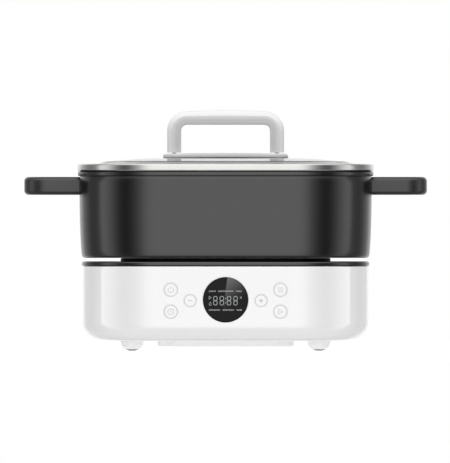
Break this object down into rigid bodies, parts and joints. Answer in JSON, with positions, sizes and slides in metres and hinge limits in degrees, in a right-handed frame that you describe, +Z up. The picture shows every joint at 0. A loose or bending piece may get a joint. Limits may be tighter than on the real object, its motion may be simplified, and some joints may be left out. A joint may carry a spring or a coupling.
{
  "type": "electric multi-cooker",
  "caption": "Electric multi-cooker: base unit with round display and keys, lift-off two-handled pot, and glass lid with steel rim and loop handle.",
  "frame": {"origin": "middle of the cooker on the surface it stands on", "axes": "+Z up; +X to the right along the length, through the two side handles; -Y is the front with the display"},
  "size_m": [0.4024, 0.248, 0.2405],
  "materials": {
    "gloss_white": "gloss moulded ABS",
    "deck_black": "satin black moulded deck",
    "cast_plate": "dark coated die-cast heating plate",
    "steel": "plain bright steel",
    "bright_aluminium": "pressed aluminium sheet",
    "module_grey": "moulded electrical parts",
    "display_black": "tinted clear display window",
    "board_green": "solder-masked circuit board",
    "inlet_black": "fine-textured inlet moulding",
    "pin_brass": "plated brass pin",
    "foot_rubber": "grey non-slip rubber",
    "pot_coat": "die-cast aluminium with a dark satin non-stick coat",
    "handle_black": "matt heat-resistant moulding",
    "lid_glass": "clear tempered glass",
    "rim_steel": "polished rolled stainless rim",
    "plate_grey": "satin grey moulding",
    "handle_pale": "satin pale moulding",
    "silicone": "silicone washer"
  },
  "bodies": {
    "base": {"base_shell": "gloss_white", "bottom_cover": "gloss_white", "foot_front_left": "gloss_white", "foot_front_right": "gloss_white", "foot_rear_left": "gloss_white", "foot_rear_right": "gloss_white", "deck_plate": "deck_black", "heating_plate": "cast_plate", "heating_element": "steel", "probe_bracket": "steel", "probe_spring": "steel", "foot_screw_front_left": "steel", "foot_screw_front_right": "steel", "foot_screw_rear_left": "steel", "foot_screw_rear_right": "steel", "heat_reflector": "bright_aluminium", "thermal_cutout": "module_grey", "display_module": "module_grey", "relay": "module_grey", "key_switch_upper_left": "module_grey", "key_switch_lower_left": "module_grey", "key_switch_minus": "module_grey", "key_switch_plus": "module_grey", "key_switch_upper_right": "module_grey", "key_switch_lower_right": "module_grey", "display_window": "display_black", "control_board": "board_green", "power_board": "board_green", "inlet_housing": "inlet_black", "inlet_pin_live": "pin_brass", "inlet_pin_neutral": "pin_brass", "inlet_pin_earth": "pin_brass", "foot_pad_front_left": "foot_rubber", "foot_pad_front_right": "foot_rubber", "foot_pad_rear_left": "foot_rubber", "foot_pad_rear_right": "foot_rubber"},
    "pot": {"pot_body": "pot_coat", "pot_handle_left": "handle_black", "pot_handle_right": "handle_black", "pot_handle_screw_left_front": "steel", "pot_handle_screw_left_rear": "steel", "pot_handle_screw_right_front": "steel", "pot_handle_screw_right_rear": "steel"},
    "lid": {"lid_glass": "lid_glass", "lid_rim": "rim_steel", "lid_handle_plate": "plate_grey", "lid_handle": "handle_pale", "lid_washer_left": "silicone", "lid_washer_right": "silicone", "lid_screw_left": "steel", "lid_screw_right": "steel", "steam_vent": "steel"},
    "probe": {"probe_cap": "bright_aluminium"},
    "upper_left_key": {"key_upper_left": "gloss_white"},
    "lower_left_key": {"key_lower_left": "gloss_white"},
    "minus_key": {"key_minus": "gloss_white"},
    "plus_key": {"key_plus": "gloss_white"},
    "upper_right_key": {"key_upper_right": "gloss_white"},
    "lower_right_key": {"key_lower_right": "gloss_white"}
  },
  "joints": [
    {"name": "pot_lift", "type": "slide", "parent": "base", "child": "pot", "axis": [0, 0, 1], "range_m": [0, 0.12]},
    {"name": "lid_lift", "type": "slide", "parent": "pot", "child": "lid", "axis": [0, 0, 1], "range_m": [0, 0.1]},
    {"name": "probe_rise", "type": "slide", "parent": "base", "child": "probe", "axis": [0, 0, 1], "range_m": [0, 0.0025], "deforming": ["probe_spring"]},
    {"name": "upper_left_press", "type": "slide", "parent": "base", "child": "upper_left_key", "axis": [0, 1, 0], "range_m": [0, 0.0006], "stiffness_N_per_m": 400, "springref_m": -0.002},
    {"name": "lower_left_press", "type": "slide", "parent": "base", "child": "lower_left_key", "axis": [0, 1, 0], "range_m": [0, 0.0006], "stiffness_N_per_m": 400, "springref_m": -0.002},
    {"name": "minus_press", "type": "slide", "parent": "base", "child": "minus_key", "axis": [0, 1, 0], "range_m": [0, 0.0006], "stiffness_N_per_m": 400, "springref_m": -0.002},
    {"name": "plus_press", "type": "slide", "parent": "base", "child": "plus_key", "axis": [0, 1, 0], "range_m": [0, 0.0006], "stiffness_N_per_m": 400, "springref_m": -0.002},
    {"name": "upper_right_press", "type": "slide", "parent": "base", "child": "upper_right_key", "axis": [0, 1, 0], "range_m": [0, 0.0006], "stiffness_N_per_m": 400, "springref_m": -0.002},
    {"name": "lower_right_press", "type": "slide", "parent": "base", "child": "lower_right_key", "axis": [0, 1, 0], "range_m": [0, 0.0006], "stiffness_N_per_m": 400, "springref_m": -0.002}
  ],
  "couplings": [
    {"joint": "probe_rise", "follows": "pot_lift", "ratio": 0.020833}
  ]
}
